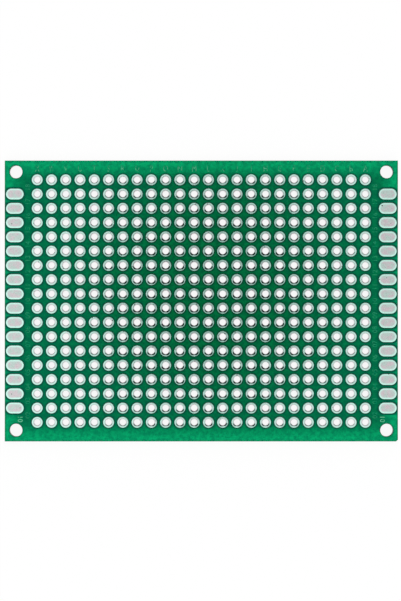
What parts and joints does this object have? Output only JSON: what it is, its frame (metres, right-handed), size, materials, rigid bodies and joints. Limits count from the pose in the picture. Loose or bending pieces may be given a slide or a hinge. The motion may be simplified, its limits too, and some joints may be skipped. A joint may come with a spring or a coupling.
{
  "type": "prototype board",
  "caption": "Bare double-sided prototype board with a green mask, a grid of plated lead holes, flat contacts along both side edges and a screw hole in each corner.",
  "frame": {"origin": "centre of the board's outline, at the underside of the tinned pads it lies on", "axes": "+Z out of the printed face, +X along the long edge to the right as the printed letters over the columns are read, +Y along the short edge"},
  "size_m": [0.07, 0.05, 0.0017],
  "materials": {
    "glass_fibre": "cut glass-fibre and resin sheet",
    "solder_mask": "glossy green lacquer",
    "tinned_copper": "bright tinned copper",
    "legend_ink": "thin pale printed ink"
  },
  "bodies": {
    "root": {"laminate": "glass_fibre", "solder_mask_top": "solder_mask", "solder_mask_bottom": "solder_mask", "plated_holes_row_a": "tinned_copper", "plated_holes_row_b": "tinned_copper", "plated_holes_row_c": "tinned_copper", "plated_holes_row_d": "tinned_copper", "plated_holes_row_e": "tinned_copper", "plated_holes_row_f": "tinned_copper", "plated_holes_row_g": "tinned_copper", "plated_holes_row_h": "tinned_copper", "plated_holes_row_i": "tinned_copper", "plated_holes_row_j": "tinned_copper", "plated_holes_row_k": "tinned_copper", "plated_holes_row_l": "tinned_copper", "plated_holes_row_m": "tinned_copper", "plated_holes_row_n": "tinned_copper", "plated_holes_row_o": "tinned_copper", "plated_holes_row_p": "tinned_copper", "plated_holes_row_q": "tinned_copper", "plated_holes_row_r": "tinned_copper", "edge_contacts_left_top": "tinned_copper", "edge_contacts_right_top": "tinned_copper", "edge_contacts_left_bottom": "tinned_copper", "edge_contacts_right_bottom": "tinned_copper"}
  },
  "joints": []
}
